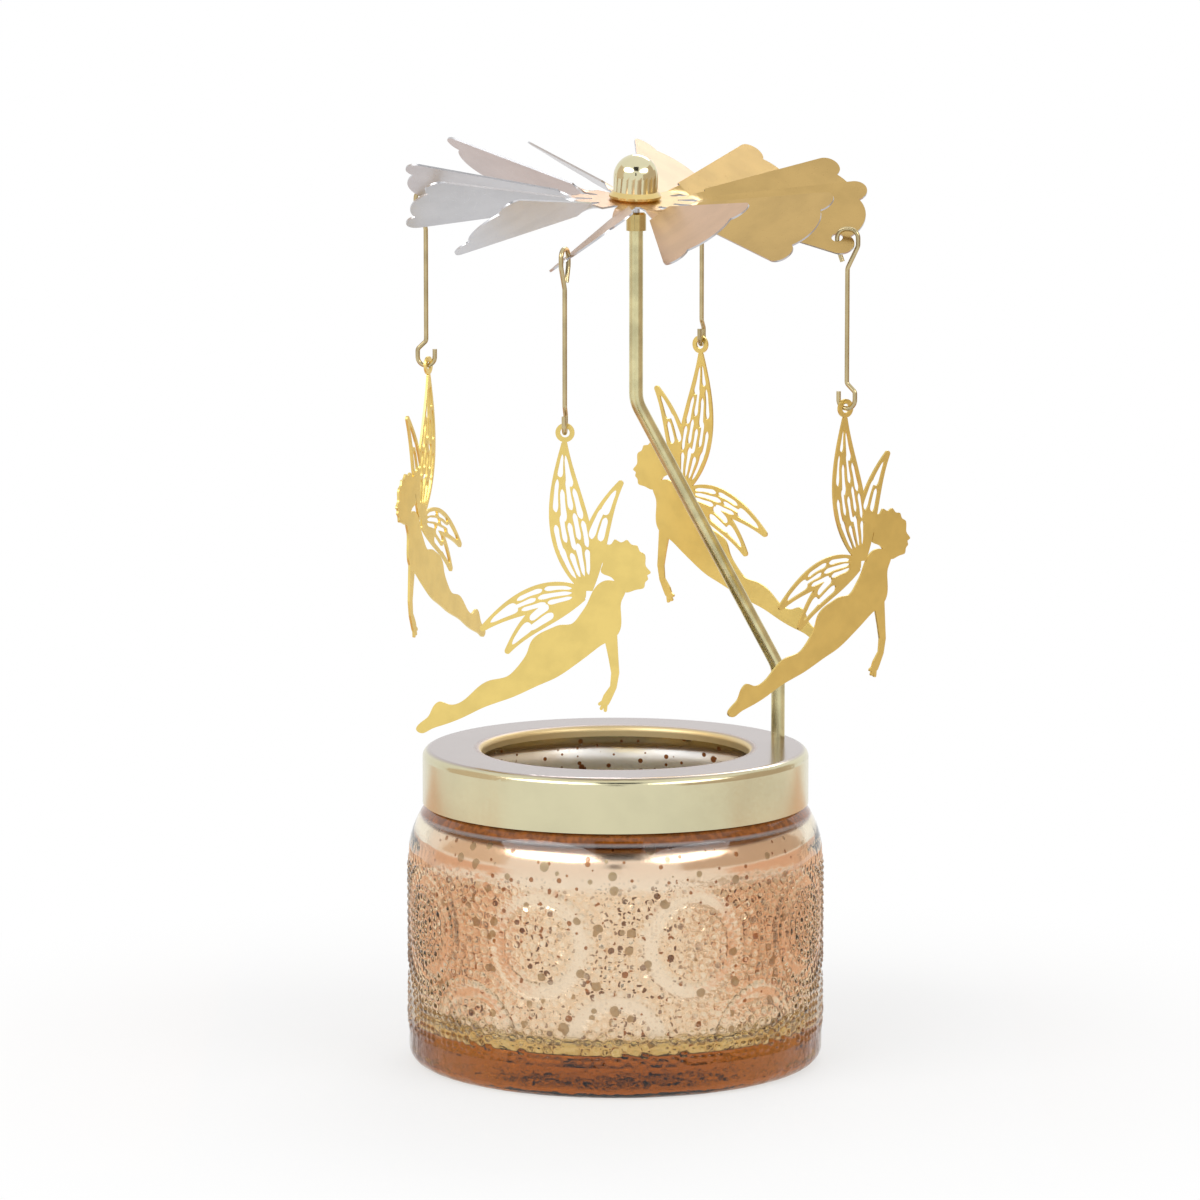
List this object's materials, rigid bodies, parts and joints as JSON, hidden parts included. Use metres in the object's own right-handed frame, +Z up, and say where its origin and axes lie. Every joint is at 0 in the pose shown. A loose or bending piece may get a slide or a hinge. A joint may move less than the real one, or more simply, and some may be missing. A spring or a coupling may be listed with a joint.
{
  "type": "angel chime carousel",
  "caption": "Candle carousel: a jar with a lid ring and bent mast, on whose needle turns a bladed rotor that carries flat winged figures on wire hangers.",
  "frame": {"origin": "centre of the face that the jar stands on", "axes": "+Z up along the jar's axis, +X to the right and +Y away from a viewer who sees the mast's foot on the right"},
  "size_m": [0.1114, 0.1053, 0.1997],
  "materials": {
    "amber_glass": "amber glass, silvered inside and partly worn away",
    "polished_steel": "polished plate with a pale champagne tint",
    "silicone": "soft translucent white",
    "champagne_metal": "pale champagne plate, satin",
    "brass": "bright plate",
    "pale_brass": "pale bright plate",
    "steel": "ground and hardened",
    "gold_sheet": "gold-plated sheet, the rotor's underside left silver",
    "gold_wire": "plated wire",
    "aluminium": "thin drawn sheet",
    "wax": "white wax",
    "cotton": "waxed cotton",
    "tinplate": "thin tinplate"
  },
  "bodies": {
    "jar": {"glass_jar": "amber_glass"},
    "topper": {"lid_ring": "polished_steel", "lid_gasket": "silicone", "mast_rod": "champagne_metal", "mast_ferrule": "brass", "pivot_needle": "steel"},
    "rotor": {"bearing_cup": "steel", "dome_cap": "pale_brass", "hub_collar": "brass", "hub_rivet": "brass", "rotor_fan": "gold_sheet"},
    "tealight": {"tealight_cup": "aluminium", "tealight_wax": "wax", "tealight_wick": "cotton", "wick_holder": "tinplate"},
    "wire_right": {"hanger_right": "gold_wire"},
    "winged_right": {"figure_right": "gold_sheet"},
    "wire_back": {"hanger_back": "gold_wire"},
    "winged_back": {"figure_back": "gold_sheet"},
    "wire_left": {"hanger_left": "gold_wire"},
    "winged_left": {"figure_left": "gold_sheet"},
    "wire_front": {"hanger_front": "gold_wire"},
    "winged_front": {"figure_front": "gold_sheet"}
  },
  "joints": [
    {"name": "lid_lift", "type": "slide", "parent": "jar", "child": "topper", "axis": [0, 0, 1], "range_m": [0, 0.015]},
    {"name": "tealight_lift", "type": "slide", "parent": "jar", "child": "tealight", "axis": [0, 0, 1], "range_m": [0, 0.03]},
    {"name": "rotor_spin", "type": "hinge", "parent": "topper", "child": "rotor", "pos_m": [0.0044, 0, 0.1956], "axis": [0, 0, 1], "continuous": true},
    {"name": "wire_swing_right", "type": "hinge", "parent": "rotor", "child": "wire_right", "pos_m": [0.04714, -0.01261, 0.18046], "axis": [0.9591, -0.283, 0], "range_deg": [-12, 12]},
    {"name": "figure_swing_right", "type": "hinge", "parent": "wire_right", "child": "winged_right", "pos_m": [0.04934, -0.01326, 0.14405], "axis": [0.8988, -0.4384, 0], "range_deg": [-12, 12]},
    {"name": "wire_swing_back", "type": "hinge", "parent": "rotor", "child": "wire_back", "pos_m": [0.01861, 0.04415, 0.18851], "axis": [0.3063, 0.9519, 0], "range_deg": [-12, 12]},
    {"name": "figure_swing_back", "type": "hinge", "parent": "wire_back", "child": "winged_back", "pos_m": [0.01931, 0.04634, 0.15211], "axis": [0.2588, 0.9659, 0], "range_deg": [-12, 12]},
    {"name": "wire_swing_left", "type": "hinge", "parent": "rotor", "child": "wire_left", "pos_m": [-0.03914, 0.01527, 0.18677], "axis": [-0.9436, 0.331, 0], "range_deg": [-12, 12]},
    {"name": "figure_swing_left", "type": "hinge", "parent": "wire_left", "child": "winged_left", "pos_m": [-0.04131, 0.01603, 0.15038], "axis": [-0.9848, 0.1736, 0], "range_deg": [-12, 12]},
    {"name": "wire_swing_front", "type": "hinge", "parent": "rotor", "child": "wire_front", "pos_m": [-0.00997, -0.04153, 0.17859], "axis": [-0.3269, -0.9451, 0], "range_deg": [-12, 12]},
    {"name": "figure_swing_front", "type": "hinge", "parent": "wire_front", "child": "winged_front", "pos_m": [-0.01072, -0.0437, 0.14219], "axis": [0.0872, 0.9962, 0], "range_deg": [-12, 12]}
  ]
}
